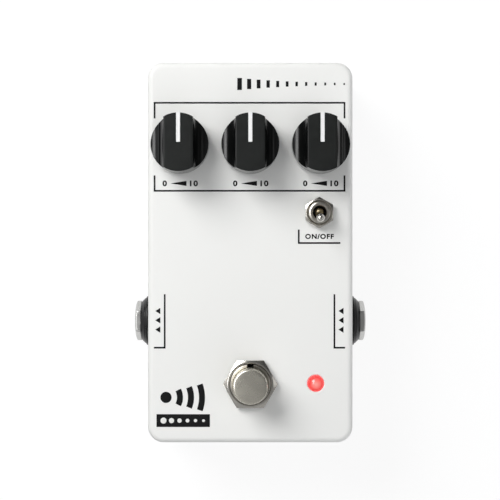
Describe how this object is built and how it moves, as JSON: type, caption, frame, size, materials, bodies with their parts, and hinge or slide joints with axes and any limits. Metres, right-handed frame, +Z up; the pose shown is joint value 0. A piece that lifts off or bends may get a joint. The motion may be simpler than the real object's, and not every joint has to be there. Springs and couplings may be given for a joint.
{
  "type": "delay pedal",
  "caption": "Compact guitar effect pedal in a white die-cast box with turning knobs, a toggle, a footswitch, a red lamp and side jacks.",
  "frame": {"origin": "on the surface under the rubber feet, below the middle of the box", "axes": "+X to the input jack's side, +Y towards the knobs and the power socket, +Z up out of the face"},
  "size_m": [0.0692, 0.1118, 0.0471],
  "materials": {
    "white_powder_coat": "satin powder coat with a faint orange peel",
    "black_knob": "moulded, fine matt top and glossy scoops",
    "pointer_white": "moulded in, matt",
    "nickel_plate": "satin nickel plate",
    "plain_steel": "zinc plated",
    "contact_brass": "bright",
    "foot_rubber": "matt",
    "red_lens": "translucent red epoxy",
    "switch_blue": "moulded",
    "black_plastic": "moulded",
    "board_green": "solder mask",
    "ribbon_grey": "soft sheath"
  },
  "bodies": {
    "enclosure": {"audio_chip": "black_plastic", "base_plate": "white_powder_coat", "base_screw_1": "plain_steel", "base_screw_2": "plain_steel", "base_screw_3": "plain_steel", "base_screw_4": "plain_steel", "delay_chip": "black_plastic", "enclosure_shell": "white_powder_coat", "filter_capacitor": "black_plastic", "footswitch_board": "board_green", "footswitch_bushing": "nickel_plate", "footswitch_housing": "switch_blue", "footswitch_inner_nut": "nickel_plate", "footswitch_lock_washer": "plain_steel", "footswitch_nut": "nickel_plate", "footswitch_spring": "plain_steel", "input_jack_body": "black_plastic", "input_jack_contact": "contact_brass", "input_jack_nut": "nickel_plate", "input_jack_washer": "black_plastic", "led": "red_lens", "led_spacer": "black_plastic", "main_board": "board_green", "output_capacitor": "black_plastic", "output_jack_body": "black_plastic", "output_jack_contact": "contact_brass", "output_jack_nut": "nickel_plate", "output_jack_washer": "black_plastic", "pot_housing_left": "plain_steel", "pot_housing_middle": "plain_steel", "pot_housing_right": "plain_steel", "pot_nut_left": "nickel_plate", "pot_nut_middle": "nickel_plate", "pot_nut_right": "nickel_plate", "pot_washer_left": "nickel_plate", "pot_washer_middle": "nickel_plate", "pot_washer_right": "nickel_plate", "power_socket_body": "black_plastic", "power_socket_pin": "nickel_plate", "ribbon_cable": "ribbon_grey", "rubber_foot_1": "foot_rubber", "rubber_foot_2": "foot_rubber", "rubber_foot_3": "foot_rubber", "rubber_foot_4": "foot_rubber", "toggle_bushing": "nickel_plate", "toggle_housing": "switch_blue", "toggle_lock_washer": "plain_steel", "toggle_nut": "nickel_plate"},
    "left_knob": {"knob_left": "black_knob", "knob_pointer_left": "pointer_white", "pot_shaft_left": "plain_steel"},
    "middle_knob": {"knob_middle": "black_knob", "knob_pointer_middle": "pointer_white", "pot_shaft_middle": "plain_steel"},
    "right_knob": {"knob_right": "black_knob", "knob_pointer_right": "pointer_white", "pot_shaft_right": "plain_steel"},
    "lever": {"toggle_lever": "nickel_plate"},
    "plunger": {"footswitch_button": "nickel_plate"}
  },
  "joints": [
    {"name": "left_knob_turn", "type": "hinge", "parent": "enclosure", "child": "left_knob", "pos_m": [-0.02045, 0.0314, 0.0336], "axis": [0, 0, 1], "range_deg": [-150, 150]},
    {"name": "middle_knob_turn", "type": "hinge", "parent": "enclosure", "child": "middle_knob", "pos_m": [0, 0.0314, 0.0336], "axis": [0, 0, 1], "range_deg": [-150, 150]},
    {"name": "right_knob_turn", "type": "hinge", "parent": "enclosure", "child": "right_knob", "pos_m": [0.02045, 0.0314, 0.0336], "axis": [0, 0, 1], "range_deg": [-150, 150]},
    {"name": "toggle_flip", "type": "hinge", "parent": "enclosure", "child": "lever", "pos_m": [0.0201, 0.01165, 0.0356], "axis": [-1, 0, 0], "range_deg": [0, 26]},
    {"name": "footswitch_press", "type": "slide", "parent": "enclosure", "child": "plunger", "axis": [0, 0, -1], "range_m": [0, 0.0025], "stiffness_N_per_m": 1200, "springref_m": -0.003, "deforming": ["footswitch_spring"]}
  ]
}
